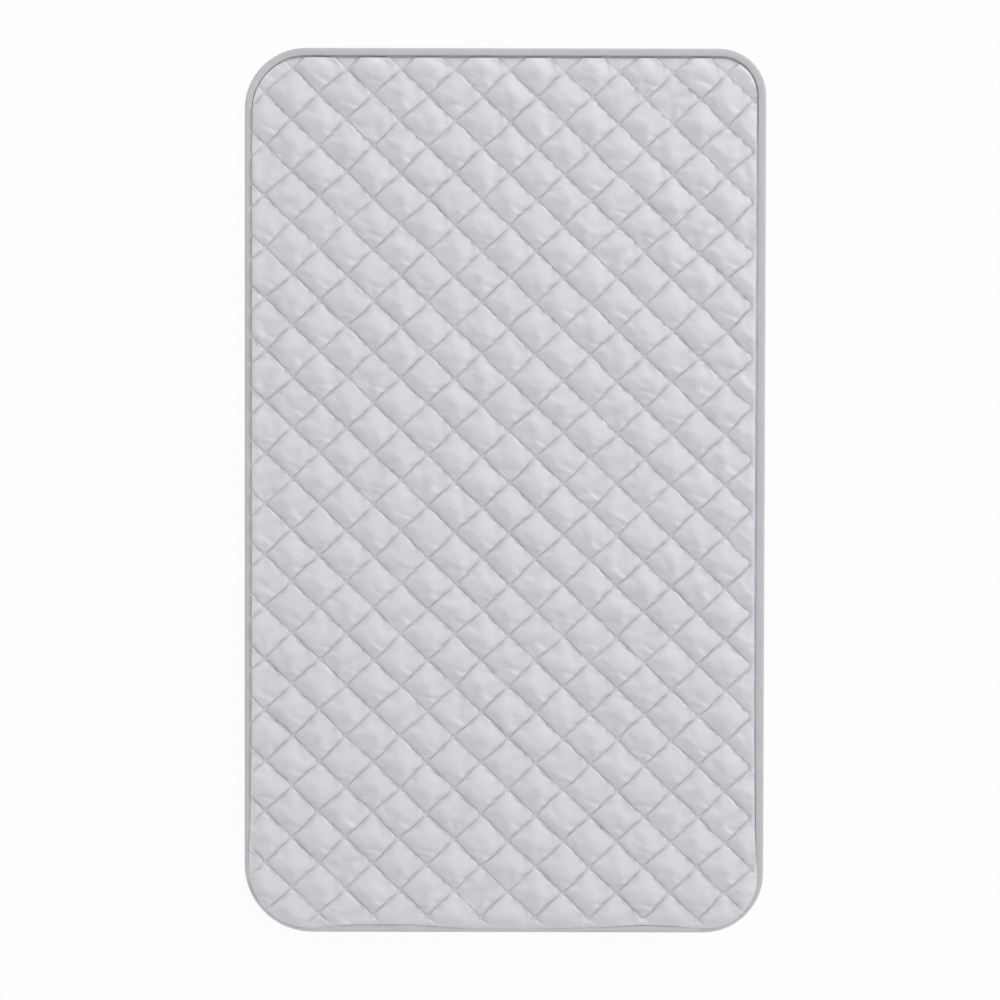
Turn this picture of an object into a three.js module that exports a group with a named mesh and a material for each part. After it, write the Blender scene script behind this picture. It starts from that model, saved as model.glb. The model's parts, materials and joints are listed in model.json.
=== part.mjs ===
// Quilted ironing pad: a silver-coated face cloth, fibre batting and a backing cloth,
// quilted together in diamonds and bound round the edge with one folded tape.
// Millimetres, +Z up. The pad lies flat with its backing on z = 0 and its long side along Y,
// and the origin is under its middle.
import * as THREE from "three";

// Outline of the pad. Its corners were rounded by hand, so each has its own radius.
const PAD_WIDTH = 500;
const PAD_LENGTH = 850;
const FAR_RIGHT_RADIUS = 45;
const FAR_LEFT_RADIUS = 59;
const NEAR_LEFT_RADIUS = 65;
const NEAR_RIGHT_RADIUS = 58;
const ARC_STEPS = 8; // straight steps in each corner's arc

// Layers, from the table up
const BACKING_THICKNESS = 0.4;
const BATTING_PRESSED = 0.8; // batting where a seam or the tape presses it flat
const FACE_THICKNESS = 0.4;
const PUFF_RISE = 4.4; // how far a whole diamond swells above its seams

// Quilting pattern
const DIAMOND_WIDTH = 52.1;
const DIAMOND_LENGTH = 49.3;
const CROSSING_X = 4.1; // one seam crossing, from the middle of the pad
const CROSSING_Y = 9;
const ROW_FALL_DEGREES = 0.8; // the cloth was cut a little askew, so its rows fall to the right

// Binding tape: a roll round the edge, then a lip on each side that is stitched down
const ROLL_WIDTH = 5;
const LIP_WIDTH = 3;
const TAPE_THICKNESS = 0.6;
const STITCH_SINK = 0.8; // how far the stitches draw the lips in from the roll
const NOSE_STEPS = 6; // straight steps round the outside of the roll
const LAYER_INSET = 2; // cut edge of the layers, in from the outside of the roll
const EDGE_RAMP = 6; // the layers rise from the table to the lips over this width

// Sewing thread, drawn into a seam
const THREAD_WIDTH = 0.5;
const THREAD_HEIGHT = 0.4;

const FIT = 0.3; // clearance between neighbouring pieces
const WELD = 0.02; // plan points closer than this are one point

// Levels that follow from the layers. The layers lie higher under the tape by edgeLift.
const backingTop = BACKING_THICKNESS;
const battingBottom = backingTop + FIT;
const battingTop = battingBottom + BATTING_PRESSED;
const faceBottom = battingTop + FIT;
const faceTop = faceBottom + FACE_THICKNESS;
const lowerLip = STITCH_SINK;
const edgeLift = lowerLip + TAPE_THICKNESS + FIT;
const upperLip = edgeLift + faceTop + FIT + TAPE_THICKNESS;
const rollTop = upperLip + STITCH_SINK;
const tapeWidth = ROLL_WIDTH + LIP_WIDTH;
const stitchInset = ROLL_WIDTH + LIP_WIDTH / 2;

// The corners anticlockwise, seen from above, with the signs of x and y that each has.
const padCorners = [
  { signX: 1, signY: 1, radius: FAR_RIGHT_RADIUS },
  { signX: -1, signY: 1, radius: FAR_LEFT_RADIUS },
  { signX: -1, signY: -1, radius: NEAR_LEFT_RADIUS },
  { signX: 1, signY: -1, radius: NEAR_RIGHT_RADIUS },
];

// The pad's outline, moved in by an inset: points run anticlockwise, seen from above.
function outline(inset) {
  return padCorners.flatMap(({ signX, signY, radius }, corner) => {
    const centre = new THREE.Vector2(PAD_WIDTH / 2 - radius, PAD_LENGTH / 2 - radius);
    centre.multiply(new THREE.Vector2(signX, signY));
    return Array.from({ length: ARC_STEPS + 1 }, (_, step) => {
      const angle = ((corner + step / ARC_STEPS) * Math.PI) / 2;
      const spoke = new THREE.Vector2(Math.cos(angle), Math.sin(angle));
      return spoke.multiplyScalar(radius - inset).add(centre);
    });
  });
}

const layerEdge = outline(LAYER_INSET); // where the three layers are cut
const field = outline(tapeWidth); // what the tape leaves open

// How far a plan point lies inside the pad's outline.
function insetOf(point) {
  const { radius } = padCorners.find((c) => point.x * c.signX >= 0 && point.y * c.signY >= 0);
  const x = Math.abs(point.x) - (PAD_WIDTH / 2 - radius);
  const y = Math.abs(point.y) - (PAD_LENGTH / 2 - radius);
  const outside = Math.hypot(Math.max(x, 0), Math.max(y, 0));
  return radius - outside - Math.min(Math.max(x, y), 0);
}

// How much higher the layers lie at a plan point than in the middle of the pad.
function liftAt(point) {
  const share = 1 - (insetOf(point) - tapeWidth) / EDGE_RAMP;
  return edgeLift * Math.min(Math.max(share, 0), 1);
}

// Twice the signed area of a plan triangle, positive when its corners run anticlockwise.
const turn = (a, b, c) => (b.x - a.x) * (c.y - a.y) - (b.y - a.y) * (c.x - a.x);

// The part of a convex polygon that lies inside another.
function clip(polygon, boundary) {
  return boundary.reduce((kept, from, k) => {
    const to = boundary[(k + 1) % boundary.length];
    return kept.flatMap((p, n) => {
      const q = kept[(n + 1) % kept.length];
      const atP = turn(from, to, p);
      const atQ = turn(from, to, q);
      const points = atP >= 0 ? [p] : [];
      if (atP >= 0 !== atQ >= 0) points.push(p.clone().lerp(q, atP / (atP - atQ)));
      return points;
    });
  }, polygon);
}

// Quilting pattern. A column and a row count half diamonds from the first crossing:
// where they add up to an even number two seams cross, and elsewhere a diamond has its middle.
const rowFall = Math.tan(THREE.MathUtils.degToRad(ROW_FALL_DEGREES));
function patternPoint(column, row) {
  const across = (column * DIAMOND_WIDTH) / 2;
  const along = (row * DIAMOND_LENGTH) / 2 - across * rowFall;
  return new THREE.Vector2(CROSSING_X + across, CROSSING_Y + along);
}
const columnReach = Math.ceil((PAD_WIDTH / 2 + Math.abs(CROSSING_X)) / (DIAMOND_WIDTH / 2)) + 1;
const fallReach = (PAD_WIDTH * Math.abs(rowFall)) / 2;
const rowReach =
  Math.ceil((PAD_LENGTH / 2 + Math.abs(CROSSING_Y) + fallReach) / (DIAMOND_LENGTH / 2)) + 1;
const countTo = (reach) => Array.from({ length: 2 * reach + 1 }, (_, n) => n - reach);

// Plan points of the quilting, each kept once so that neighbouring diamonds share their corners.
const planPoints = [];
function planPoint(point) {
  const known = planPoints.find((p) => p.distanceTo(point) < WELD);
  if (!known) planPoints.push(point);
  return known ?? point;
}

// Diamonds clipped to the field inside the tape. A pocket that the tape cuts small swells less.
const wholeDiamond = (DIAMOND_WIDTH * DIAMOND_LENGTH) / 2;
function pocket(column, row) {
  const diamond = [[1, 0], [0, 1], [-1, 0], [0, -1]].map(([dc, dr]) =>
    patternPoint(column + dc, row + dr),
  );
  const welded = clip(diamond, field).map(planPoint);
  const corners = welded.filter((p, n) => p !== welded[(n + 1) % welded.length]);
  const share = Math.abs(THREE.ShapeUtils.area(corners)) / wholeDiamond;
  return { corners, swell: PUFF_RISE * Math.sqrt(share) };
}
const pockets = countTo(columnReach)
  .flatMap((column) => countTo(rowReach).map((row) => [column, row]))
  .filter(([column, row]) => (column + row) % 2 !== 0)
  .map(([column, row]) => pocket(column, row))
  .filter(({ corners }) => corners.length > 2);

// The field's edge: the sides of the pockets that no other pocket shares, in order.
function fieldEdge() {
  const after = new Map(planPoints.map((p) => [p, new Set()]));
  for (const { corners } of pockets) {
    corners.forEach((p, n) => after.get(p).add(corners[(n + 1) % corners.length]));
  }
  const open = new Map();
  for (const [p, ends] of after) {
    for (const q of ends) if (!after.get(q).has(p)) open.set(p, q);
  }
  const [start] = open.keys();
  const edge = [start];
  while (open.get(edge.at(-1)) !== start) edge.push(open.get(edge.at(-1)));
  return edge;
}

const raise = (point, z) => new THREE.Vector3(point.x, point.y, z);

// Flat triangles, facing up, between two loops that run anticlockwise round the middle of the pad.
// Each triangle has a side on one loop and its tip on the other, taken in the order of their directions.
function band(outer, inner) {
  const direction = (p) => Math.atan2(p.y, p.x);
  const [around, within] = [outer, inner].map((loop) => {
    const start = loop.map(direction).reduce((least, d, n, all) => (d < all[least] ? n : least), 0);
    return [...loop.slice(start), ...loop.slice(0, start + 1)];
  });
  const directionAt = (loop, n) => direction(loop[n]) + (n === loop.length - 1 ? 2 * Math.PI : 0);
  const triangles = [];
  let [i, j] = [0, 0];
  while (i < around.length - 1 || j < within.length - 1) {
    const outerNext =
      j === within.length - 1 ||
      (i < around.length - 1 && directionAt(around, i + 1) <= directionAt(within, j + 1));
    if (outerNext) {
      triangles.push([around[i], around[i + 1], within[j]]);
      i += 1;
    } else {
      triangles.push([around[i], within[j + 1], within[j]]);
      j += 1;
    }
  }
  return triangles;
}

// Flat triangles, facing up, that fill a convex loop.
const fan = (loop) => loop.slice(2).map((p, n) => [loop[0], loop[n + 1], p]);

// A quilted surface: every pocket rises from its seams to a crown, and the rim lies flat.
const rimBand = band(layerEdge, fieldEdge());
function quiltedSurface(seamLevel) {
  const rim = rimBand.map((triangle) => triangle.map((p) => raise(p, seamLevel + liftAt(p))));
  const swollen = pockets.flatMap(({ corners, swell }) => {
    const seam = corners.map((p) => raise(p, seamLevel + liftAt(p)));
    const crown = new THREE.Vector3();
    seam.forEach((p) => crown.addScaledVector(p, 1 / seam.length));
    crown.z += swell;
    return seam.map((p, n) => [p, seam[(n + 1) % seam.length], crown]);
  });
  return [...rim, ...swollen];
}

// A surface that lies on the table and rises over the lower lip of the tape.
function tableSurface(level) {
  const table = outline(tapeWidth + EDGE_RAMP);
  const flat = [band(layerEdge, field), band(field, table), fan(table)].flat();
  return flat.map((triangle) => triangle.map((p) => raise(p, level + liftAt(p))));
}

function fromTriangles(triangles) {
  const geometry = new THREE.BufferGeometry().setFromPoints(triangles.flat());
  geometry.computeVertexNormals();
  return geometry;
}

// A closed layer: an upper and a lower surface, joined by a wall at their cut edge.
function layer(upper, lower, rimTop, rimBottom) {
  const wall = layerEdge.flatMap((p, n) => {
    const q = layerEdge[(n + 1) % layerEdge.length];
    const [a, b] = [raise(p, rimBottom), raise(q, rimBottom)];
    const [c, d] = [raise(q, rimTop), raise(p, rimTop)];
    return [[a, b, c], [a, c, d]];
  });
  return fromTriangles([...upper, ...lower.map(([a, b, c]) => [a, c, b]), ...wall]);
}

// Sweeps a section along a path with mitred corners. A section point's x goes to the left of the path
// and its y goes up, and its points run anticlockwise, seen along the path with left on the left.
function sweep(path, section, closed) {
  const last = path.length - 1;
  const leftOf = (a, b) => new THREE.Vector2(a.y - b.y, b.x - a.x).normalize();
  const rings = path.map((point, n) => {
    const before = path[n - 1] ?? (closed && path[last]);
    const after = path[n + 1] ?? (closed && path[0]);
    const inLeft = before ? leftOf(before, point) : leftOf(point, after);
    const outLeft = after ? leftOf(point, after) : inLeft;
    const mitre = inLeft.clone().add(outLeft).divideScalar(1 + inLeft.dot(outLeft));
    return section.map(
      (s) => new THREE.Vector3(point.x + mitre.x * s.x, point.y + mitre.y * s.x, point.z + s.y),
    );
  });
  const sides = rings.slice(closed ? 0 : 1).flatMap((ring, n) => {
    const previous = closed ? rings[(n + last) % rings.length] : rings[n];
    return section.flatMap((_, k) => {
      const next = (k + 1) % section.length;
      return [
        [previous[k], ring[k], ring[next]],
        [previous[k], ring[next], previous[next]],
      ];
    });
  });
  if (closed) return fromTriangles(sides);
  const startCap = section.slice(2).map((_, k) => [rings[0][0], rings[0][k + 1], rings[0][k + 2]]);
  const endCap = section.slice(2).map((_, k) => [rings[last][0], rings[last][k + 2], rings[last][k + 1]]);
  return fromTriangles([...sides, ...startCap, ...endCap]);
}

// One wall of the tape's section, from the lower lip round the roll to the upper lip, set in by a depth.
// A point's x is its distance in from the outside of the roll.
function tapeFold(depth) {
  const across = ROLL_WIDTH / 2;
  const middle = rollTop / 2;
  const roll = Array.from({ length: NOSE_STEPS + 1 }, (_, step) => {
    const angle = Math.PI * (1.5 - step / NOSE_STEPS);
    const x = across + (across - depth) * Math.cos(angle);
    return new THREE.Vector2(x, middle + (middle - depth) * Math.sin(angle));
  });
  const lip = (z) => [new THREE.Vector2(tapeWidth, z), new THREE.Vector2(ROLL_WIDTH, z)];
  return [...lip(lowerLip + depth), ...roll, ...lip(upperLip - depth).reverse()];
}

function edgeBinding() {
  const section = [...tapeFold(0), ...tapeFold(TAPE_THICKNESS).reverse()];
  return sweep(outline(0).map((p) => raise(p, 0)), section, true);
}

// A thread lies with its narrow side down, as it is drawn into the cloth.
const threadSection = [
  new THREE.Vector2(0, 0),
  new THREE.Vector2(-THREAD_WIDTH / 2, THREAD_HEIGHT),
  new THREE.Vector2(THREAD_WIDTH / 2, THREAD_HEIGHT),
];

function bindingThread(z) {
  return sweep(outline(stitchInset).map((p) => raise(p, z)), threadSection, true);
}

// Quilting threads. Each needle sews a zigzag down the pad, and turns back where it meets its neighbour's.
const threadField = outline(tapeWidth + THREAD_WIDTH / 2 + FIT);
const inField = (p) => insetOf(p) > tapeWidth + THREAD_WIDTH / 2 + FIT;
const turnHalfAngle = Math.atan2(DIAMOND_WIDTH, DIAMOND_LENGTH);
const turnInset = THREAD_WIDTH / 2 / Math.sin(turnHalfAngle) + FIT / 2;

// Where a seam from a point inside a boundary leaves it.
function leave(inside, outside, boundary) {
  for (const [n, from] of boundary.entries()) {
    const to = boundary[(n + 1) % boundary.length];
    const atOutside = turn(from, to, outside);
    if (atOutside >= 0) continue;
    const atInside = turn(from, to, inside);
    outside = inside.clone().lerp(outside, atInside / (atInside - atOutside));
  }
  return outside;
}

function quiltingThread(column) {
  const seam = countTo(rowReach).map((row) => {
    const right = Math.abs(column + row) % 2;
    const crossing = patternPoint(column + right, row);
    const tip = crossing.clone();
    tip.x += right ? -turnInset : turnInset;
    return { crossing, tip };
  });
  const covered = seam.map(({ crossing }) => !inField(crossing));
  const first = covered.lastIndexOf(true, rowReach) + 1;
  const end = covered.indexOf(true, rowReach) - 1;
  const threadLevel = faceTop + FIT;
  const turns = seam.slice(first, end + 1);
  const path = turns.map(({ crossing, tip }) => raise(tip, threadLevel + liftAt(crossing)));
  // The loose end runs up the seam to the tape.
  const looseEnd = (from, beyond, start) => {
    const atTape = leave(from.tip, beyond.tip, field);
    const stop = leave(from.tip, beyond.tip, threadField);
    const share = stop.distanceTo(from.tip) / atTape.distanceTo(from.tip);
    return raise(stop, THREE.MathUtils.lerp(start.z, threadLevel + edgeLift, share));
  };
  const head = looseEnd(turns[0], seam[first - 1], path[0]);
  const tail = looseEnd(turns.at(-1), seam[end + 1], path.at(-1));
  return sweep([head, ...path, tail], threadSection, false);
}

// Colours and finishes
const finish = (color, roughness, metalness) =>
  new THREE.MeshStandardMaterial({ color, roughness, metalness });
const silverCloth = finish(0xd4d3d9, 0.5, 0.3);
const wadding = finish(0xf1efe9, 1, 0);
const plainCloth = finish(0xc8c6c4, 0.95, 0);
const tapeCloth = finish(0xb3b1b7, 0.8, 0);
const threadGrey = finish(0xbebdc3, 0.6, 0);

const pad = new THREE.Group();
function add(name, geometry, material) {
  const mesh = new THREE.Mesh(geometry, material.clone());
  mesh.name = name;
  pad.add(mesh);
}

add(
  "backing_cloth",
  layer(tableSurface(backingTop), tableSurface(0), edgeLift + backingTop, edgeLift),
  plainCloth,
);
add(
  "batting",
  layer(
    quiltedSurface(battingTop),
    tableSurface(battingBottom),
    edgeLift + battingTop,
    edgeLift + battingBottom,
  ),
  wadding,
);
add(
  "face_cloth",
  layer(
    quiltedSurface(faceTop),
    quiltedSurface(faceBottom),
    edgeLift + faceTop,
    edgeLift + faceBottom,
  ),
  silverCloth,
);
add("edge_binding", edgeBinding(), tapeCloth);
add("binding_thread_face", bindingThread(upperLip + FIT), threadGrey);
add("binding_thread_back", bindingThread(lowerLip - FIT - THREAD_HEIGHT), threadGrey);

const threadColumns = countTo(columnReach).filter((column) =>
  [column, column + 1].every((c) => inField(new THREE.Vector2(patternPoint(c, 0).x, 0))),
);
threadColumns.forEach((column, n) => {
  const number = String(n + 1).padStart(2, "0");
  add(`quilting_thread_${number}`, quiltingThread(column), threadGrey);
});

export default pad;
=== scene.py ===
# %% [markdown]
# The object is a loose quilted ironing pad that lies flat on its back. A silver-coated face cloth, a layer
# of fibre wadding and a plain backing cloth are sewn together along crossing seams, so that the wadding
# swells between the seams into diamonds. One folded tape is sewn round the cut edge.
#
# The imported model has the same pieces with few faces. It is loaded first, and its frame and its size are
# kept. The soft pieces that follow are made in that frame, in metres, and take the place of its nodes.

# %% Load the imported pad
import json
import math

import bpy
import numpy as np
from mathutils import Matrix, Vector, kdtree
from mathutils.bvhtree import BVHTree

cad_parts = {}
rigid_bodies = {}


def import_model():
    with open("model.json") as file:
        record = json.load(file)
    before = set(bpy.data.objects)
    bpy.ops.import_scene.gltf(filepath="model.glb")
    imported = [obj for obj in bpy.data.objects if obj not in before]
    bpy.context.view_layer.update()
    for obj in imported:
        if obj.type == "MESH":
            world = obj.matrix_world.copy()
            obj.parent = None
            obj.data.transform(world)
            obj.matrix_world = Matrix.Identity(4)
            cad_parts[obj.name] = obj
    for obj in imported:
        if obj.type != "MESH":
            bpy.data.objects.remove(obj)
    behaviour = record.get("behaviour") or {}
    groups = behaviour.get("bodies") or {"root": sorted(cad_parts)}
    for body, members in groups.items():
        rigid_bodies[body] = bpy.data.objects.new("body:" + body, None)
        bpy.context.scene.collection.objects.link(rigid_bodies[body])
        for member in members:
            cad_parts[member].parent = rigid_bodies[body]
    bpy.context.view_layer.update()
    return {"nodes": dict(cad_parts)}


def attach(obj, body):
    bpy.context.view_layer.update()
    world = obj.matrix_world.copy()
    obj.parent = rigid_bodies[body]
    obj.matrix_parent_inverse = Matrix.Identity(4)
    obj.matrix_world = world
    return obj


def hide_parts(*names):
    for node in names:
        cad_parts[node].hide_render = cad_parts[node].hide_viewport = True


for old in list(bpy.data.objects):
    bpy.data.objects.remove(old)
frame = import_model()
MM = 0.001
TINY = 1e-9

# %% [markdown]
# The outline is a rectangle with round corners. They were cut and bound by hand, so each has its own
# radius. Two questions come back for every piece: how far inside the outline a point lies, and which way
# is out. Both are answered for whole arrays of points at once, because a mesh of cloth has tens of
# thousands of them.

# %% The outline of the pad
HALF_WIDTH = 250 * MM
HALF_LENGTH = 425 * MM
FAR_RIGHT_RADIUS = 45 * MM
FAR_LEFT_RADIUS = 59 * MM
NEAR_LEFT_RADIUS = 65 * MM
NEAR_RIGHT_RADIUS = 58 * MM


def corner_radius(x, y):
    """The radius of the corner that each point belongs to."""
    far = np.where(x > 0, FAR_RIGHT_RADIUS, FAR_LEFT_RADIUS)
    near = np.where(x > 0, NEAR_RIGHT_RADIUS, NEAR_LEFT_RADIUS)
    return np.where(y > 0, far, near)


def past_corner_centre(x, y):
    """How far points lie past the centre of their corner's arc, across and along the pad."""
    radius = corner_radius(x, y)
    return np.abs(x) - (HALF_WIDTH - radius), np.abs(y) - (HALF_LENGTH - radius)


def inset_of(x, y):
    """How far points lie inside the outline."""
    across, along = past_corner_centre(x, y)
    beyond = np.hypot(np.maximum(across, 0), np.maximum(along, 0))
    return corner_radius(x, y) - beyond - np.minimum(np.maximum(across, along), 0)


def outward(x, y):
    """The direction from each point to the nearest point of the outline, as two arrays."""
    across, along = past_corner_centre(x, y)
    in_corner = (across > 0) & (along > 0)
    out_x = np.where(in_corner, across, across >= along) * np.sign(x)
    out_y = np.where(in_corner, along, across < along) * np.sign(y)
    size = np.hypot(out_x, out_y)
    return out_x / size, out_y / size


def bearing(x, y):
    """A number that grows anticlockwise round the pad, for looking up what changes along the edge."""
    return np.arctan2(y / HALF_LENGTH, x / HALF_WIDTH)


CORNERS = ((1, 1), (-1, 1), (-1, -1), (1, -1))
corner_radii = [float(corner_radius(*corner)) for corner in CORNERS]
print("outline", 2 * HALF_WIDTH, "by", 2 * HALF_LENGTH, "corner radii", corner_radii)

# %% [markdown]
# A multi-needle machine quilted the cloth before it was cut, so the seams run under the tape without any
# regard to the edge. Two families of seams cross. If s counts the seams that fall to the right and t those
# that rise to the right, a crossing has whole numbers for both, and the fractions of s and t tell where in
# its diamond a point lies. The sheet was cut a little askew, which is the small fall, and no seam is quite
# straight: each needle drifts a little, and the cloth pulls each stretch to and fro.

# %% The quilting pattern
DIAMOND_WIDTH = 52.1 * MM
DIAMOND_LENGTH = 49.3 * MM
CROSSING_X = 4.1 * MM
CROSSING_Y = 9.0 * MM
ROW_FALL = math.tan(math.radians(0.8))
NEEDLE_DRIFT = 0.016
FALLING_WAVE = 0.55
FALLING_START = 2.7
FALLING_SHIFT = 0.6
RISING_WAVE = 0.9
RISING_START = 0.8
CLOTH_PULL = 0.008
RISING_PULL = 1.6
# each pull: waves along the seam, waves from seam to seam, phase
FALLING_PULLS = ((2.3, 0.9, 1.0), (4.1, -1.9, 0.0))
RISING_PULLS = ((2.0, -0.7, 2.0), (4.4, 1.3, 0.5))


def pulled(pulls, along, seam):
    """How far the cloth pulls a place of a seam aside."""
    return CLOTH_PULL * sum(np.sin(a * along + b * seam + phase) for a, b, phase in pulls)


def pattern_point(s, t):
    """Plan position of a place in the seam pattern, with the drift of each seam."""
    needle_s = NEEDLE_DRIFT * (np.cos(FALLING_WAVE * (s - FALLING_START)) + FALLING_SHIFT)
    needle_t = NEEDLE_DRIFT * np.sin(RISING_WAVE * t + RISING_START)
    pull_s, pull_t = pulled(FALLING_PULLS, t, s), pulled(RISING_PULLS, s, t)
    s = s - needle_s + pull_s
    t = t + needle_t + RISING_PULL * pull_t
    across = (s + t) * DIAMOND_WIDTH / 2
    along = (s - t) * DIAMOND_LENGTH / 2 - across * ROW_FALL
    return CROSSING_X + across, CROSSING_Y + along


SEAM_REACH = 18
DIAMOND_SIDE = math.hypot(DIAMOND_WIDTH, DIAMOND_LENGTH) / 2
print("diamond side", DIAMOND_SIDE)

# %% [markdown]
# The tape doesn't look the same all round. Along the top and the right the cloth drops into a ditch beside
# it, on the left the cloth meets it almost without one, and along the bottom the padding rolls over it, most
# of all in the two corners. A short list of places round the edge says how wide the tape shows, how high the
# cloth lies in the ditch, how high the tape's inner lip lies, how wide the ditch is, over which length the
# seams run out before it and how much of the cloth's rise is a steep wall. Everything between is
# interpolated, so the cloth and the tape follow the same line.

# %% How the tape shows round the edge
EDGE_LOOK = [
    # across, along, shown width, height in the ditch, lip height, ditch width, seam end, steepness
    (250, 0, 7.5, 3.8, 4.7, 2.0, 8, 0.55),
    (250, 200, 7.5, 4.0, 4.7, 2.1, 8, 0.4),
    (250, 340, 7.3, 3.8, 4.7, 1.9, 6, 0.45),
    (236, 411, 7.1, 2.4, 4.8, 1.6, 2, 0.92),
    (190, 425, 6.9, 1.9, 5.2, 2.1, 2, 0.9),
    (0, 425, 6.9, 1.9, 5.2, 2.1, 2, 0.9),
    (-170, 425, 6.9, 1.9, 5.2, 2.1, 2, 0.9),
    (-232, 407, 6.8, 2.5, 4.4, 1.0, 1, 0.8),
    (-250, 340, 6.7, 3.5, 4.2, 0.2, 0.5, 0.97),
    (-250, 0, 6.7, 3.7, 4.2, 0.1, 0.5, 0.97),
    (-250, -250, 6.5, 3.6, 4.2, 0.1, 0.5, 0.97),
    (-250, -320, 5.2, 3.0, 4.0, 0.2, 2, 0.8),
    (-244, -382, 2.4, 2.6, 3.4, 0.1, 5, 0.4),
    (-222, -410, 1.9, 2.6, 3.3, 0.0, 8, 0.1),
    (-195, -423, 2.4, 2.7, 3.4, 0.0, 8, 0.1),
    (-172, -425, 4.8, 3.0, 3.9, 0.0, 8, 0.4),
    (-150, -425, 6.2, 3.5, 4.1, 0.7, 8, 0.25),
    (-90, -425, 6.2, 3.5, 4.1, 0.7, 8, 0.25),
    (-62, -425, 5.0, 3.2, 3.9, 0.0, 8, 0.3),
    (-40, -425, 3.4, 3.3, 3.6, 0.0, 9, 0.0),
    (25, -425, 3.2, 3.3, 3.6, 0.0, 9, 0.0),
    (60, -425, 3.6, 3.3, 3.6, 0.0, 9, 0.0),
    (100, -425, 5.0, 3.2, 3.9, 0.0, 8, 0.3),
    (130, -425, 6.2, 3.3, 4.1, 0.7, 8, 0.35),
    (165, -425, 5.6, 3.1, 4.0, 0.5, 8, 0.4),
    (190, -424, 3.0, 2.7, 3.6, 0.0, 8, 0.1),
    (222, -410, 2.0, 2.6, 3.3, 0.0, 8, 0.1),
    (242, -384, 4.0, 2.7, 3.8, 0.1, 7, 0.4),
    (250, -340, 7.0, 3.4, 4.5, 1.1, 7, 0.55),
    (250, -200, 7.7, 3.7, 4.6, 2.0, 8, 0.5),
]
edge_look = np.array(EDGE_LOOK, float)
edge_look[:, :7] *= MM
edge_bearing = bearing(edge_look[:, 0], edge_look[:, 1])


def round_edge(column):
    """A function that gives one column of the list, interpolated for points near the edge."""

    def value_at(x, y):
        return np.interp(bearing(x, y), edge_bearing, edge_look[:, column], period=2 * math.pi)

    return value_at


tape_shown, tape_ditch, tape_lip = round_edge(2), round_edge(3), round_edge(4)
ditch_width, seam_end, edge_steepness = round_edge(5), round_edge(6), round_edge(7)
WALL_WIDTH = 0.3 * MM


def inside_tape(x, y):
    """How far points lie inside the line where the cloth comes out from under the tape."""
    return inset_of(x, y) - tape_shown(x, y)


def inside_wall(x, y):
    """How far points lie inside the line where the cloth drops into the ditch beside the tape."""
    return inside_tape(x, y) - ditch_width(x, y) - WALL_WIDTH


print("tape shows", edge_look[:, 2].min(), "to", edge_look[:, 2].max())

# %% [markdown]
# The face cloth is one sheet, and all its shape comes from the seams that hold it down. A square grid would
# cross the seams anywhere and blur them, so the grid runs along the seams instead: every diamond gets the
# same steps on each side, closest beside the seams, and each seam is a row of vertices. The sheet is cut
# where the cloth drops into the ditch beside the tape: vertices close to that line are moved onto it and the
# remaining faces are cut along it, so that the edge is smooth as well.

# %% A sheet that follows the seams
CLOSE_TO_CUT = 0.3
CUT_PASSES = 3


def onto_line(inside, x, y):
    """Moves points straight out or in, onto the line where inside is 0."""
    for _ in range(CUT_PASSES):
        gap = inside(x, y)
        out_x, out_y = outward(x, y)
        x, y = x + gap * out_x, y + gap * out_y
    return x, y


def counts_of(shares):
    """Steps over the whole sheet from those of one diamond, and the smaller step beside each."""
    counts = (np.arange(-SEAM_REACH, SEAM_REACH)[:, None] + np.array(shares)).ravel()
    steps = np.diff(counts, prepend=counts[0] - 1, append=counts[-1] + 1)
    return counts, np.minimum(steps[:-1], steps[1:])


def seam_sheet(s_shares, t_shares, inside):
    """A sheet that is cut where inside(x, y) is 0. The shares are the steps on the two sides of a diamond.

    Gives its vertices as rows of s, t, x and y, its faces, and its edge as vertices in order."""
    s_counts, s_steps = counts_of(s_shares)
    t_counts, t_steps = counts_of(t_shares)
    s, t = np.meshgrid(s_counts, t_counts, indexing="ij")
    x, y = pattern_point(s, t)
    gap = inside(x, y)
    room = DIAMOND_SIDE * np.minimum(s_steps[:, None], t_steps[None, :])
    close = np.abs(gap) < CLOSE_TO_CUT * room
    x[close], y[close] = onto_line(inside, x[close], y[close])
    gap[close] = 0
    vertices = []
    number = {}

    def corner(i, j):
        if (i, j) not in number:
            number[i, j] = len(vertices)
            vertices.append((s[i, j], t[i, j], x[i, j], y[i, j]))
        return number[i, j]

    def on_edge(a, b):
        key = (min(a, b), max(a, b))
        if key not in number:
            share = gap[a] / (gap[a] - gap[b])
            place = [(1 - share) * grid[a] + share * grid[b] for grid in (s, t, x, y)]
            px, py = onto_line(inside, np.array(place[2]), np.array(place[3]))
            number[key] = len(vertices)
            vertices.append((place[0], place[1], float(px), float(py)))
        return number[key]

    faces = []
    kept = gap > 0
    cells = kept[:-1, :-1] | kept[1:, 1:] | kept[:-1, 1:] | kept[1:, :-1]
    for i, j in np.argwhere(cells):
        ring = [(i, j), (i, j + 1), (i + 1, j + 1), (i + 1, j)]
        face = []
        for a, b in zip(ring, ring[1:] + ring[:1]):
            if gap[a] >= 0:
                face.append(corner(*a))
            if gap[a] * gap[b] < 0:
                face.append(on_edge(a, b))
        if len(face) > 2:
            faces.append(face)
    vertices = np.array(vertices)
    sides = set()
    for face in faces:
        sides.update(zip(face, face[1:] + face[:1]))
    rim = np.array(sorted({a for a, b in sides if (b, a) not in sides}))
    rim = rim[np.argsort(bearing(vertices[rim, 2], vertices[rim, 3]))]
    return vertices, faces, rim


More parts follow.
